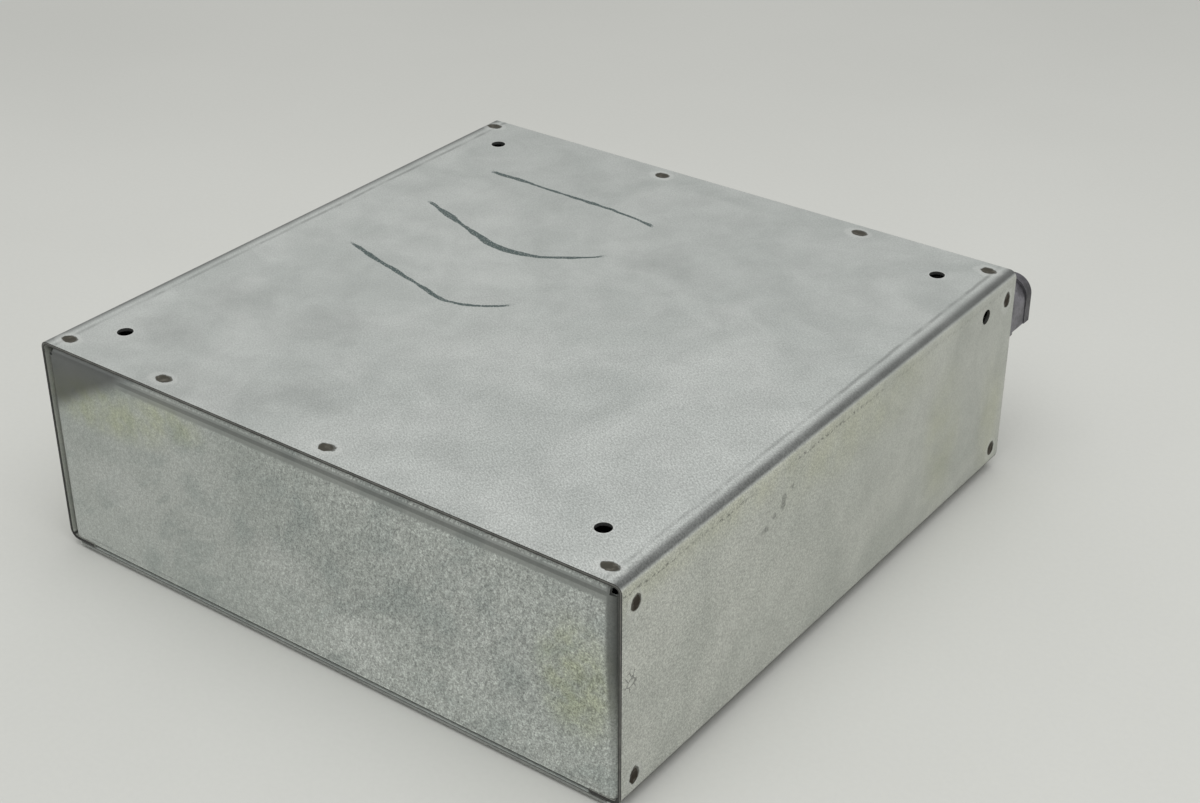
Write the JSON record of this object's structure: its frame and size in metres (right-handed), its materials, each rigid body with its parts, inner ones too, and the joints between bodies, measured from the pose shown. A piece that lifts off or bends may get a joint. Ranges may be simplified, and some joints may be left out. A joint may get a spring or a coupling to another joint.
{
  "type": "electrical junction box",
  "caption": "Galvanised sheet-metal junction box with a flat screw-on cover, welded end panels, mounting holes in its back and a clamp connector for cable.",
  "frame": {"origin": "centre of the back panel's outer face, the face that lies against the wall", "axes": "+Z out of the back panel, towards the wall it mounts on (up when the box lies on its cover); +Y out of the end with the cable connector; +X towards the side wall nearest the connector"},
  "size_m": [0.305, 0.3376, 0.1036],
  "materials": {
    "galvanised_sheet": "dull zinc coating with fine mottling",
    "die_cast_zinc": "rough die-cast, dull",
    "plated_steel": "zinc plated",
    "lug_aluminium": "extruded, satin",
    "green_steel": "green passivated"
  },
  "bodies": {
    "box": {"wrapper": "galvanised_sheet", "near_end_panel": "galvanised_sheet", "far_end_panel": "galvanised_sheet", "connector_body": "die_cast_zinc", "ground_lug": "lug_aluminium"},
    "cover": {"cover": "galvanised_sheet"},
    "cover_screw_1": {"cover_screw_1": "plated_steel"},
    "cover_screw_2": {"cover_screw_2": "plated_steel"},
    "cover_screw_3": {"cover_screw_3": "plated_steel"},
    "cover_screw_4": {"cover_screw_4": "plated_steel"},
    "connector_locknut": {"connector_locknut": "plated_steel"},
    "connector_strap": {"connector_strap": "plated_steel"},
    "strap_screw_left": {"strap_screw_left": "plated_steel"},
    "strap_screw_right": {"strap_screw_right": "plated_steel"},
    "ground_screw": {"ground_screw": "green_steel"},
    "lug_set_screw": {"lug_set_screw": "plated_steel"}
  },
  "joints": [
    {"name": "cover_lift", "type": "slide", "parent": "box", "child": "cover", "axis": [0, 0, -1], "range_m": [0, 0.12]},
    {"name": "cover_screw_1_turn", "type": "hinge", "parent": "cover", "child": "cover_screw_1", "pos_m": [-0.144, -0.1275, -0.102], "axis": [0, 0, 1], "continuous": true},
    {"name": "cover_screw_2_turn", "type": "hinge", "parent": "cover", "child": "cover_screw_2", "pos_m": [0.144, -0.1275, -0.102], "axis": [0, 0, 1], "continuous": true},
    {"name": "cover_screw_3_turn", "type": "hinge", "parent": "cover", "child": "cover_screw_3", "pos_m": [0.144, 0.1275, -0.102], "axis": [0, 0, 1], "continuous": true},
    {"name": "cover_screw_4_turn", "type": "hinge", "parent": "cover", "child": "cover_screw_4", "pos_m": [-0.144, 0.1275, -0.102], "axis": [0, 0, 1], "continuous": true},
    {"name": "locknut_turn", "type": "hinge", "parent": "box", "child": "connector_locknut", "pos_m": [0.1278, 0.15215, -0.0313], "axis": [0, 1, 0], "continuous": true},
    {"name": "strap_open", "type": "slide", "parent": "box", "child": "connector_strap", "axis": [0, 0, -1], "range_m": [0, 0.006]},
    {"name": "strap_screw_left_turn", "type": "hinge", "parent": "connector_strap", "child": "strap_screw_left", "pos_m": [0.1136, 0.16715, -0.0433], "axis": [0, 0, 1], "continuous": true},
    {"name": "strap_screw_right_turn", "type": "hinge", "parent": "connector_strap", "child": "strap_screw_right", "pos_m": [0.142, 0.16715, -0.0433], "axis": [0, 0, 1], "continuous": true},
    {"name": "ground_screw_turn", "type": "hinge", "parent": "box", "child": "ground_screw", "pos_m": [-0.1487, 0.06, -0.05], "axis": [1, 0, 0], "continuous": true},
    {"name": "lug_set_screw_travel", "type": "slide", "parent": "box", "child": "lug_set_screw", "axis": [-1, 0, 0], "range_m": [0, 0.0029]}
  ]
}
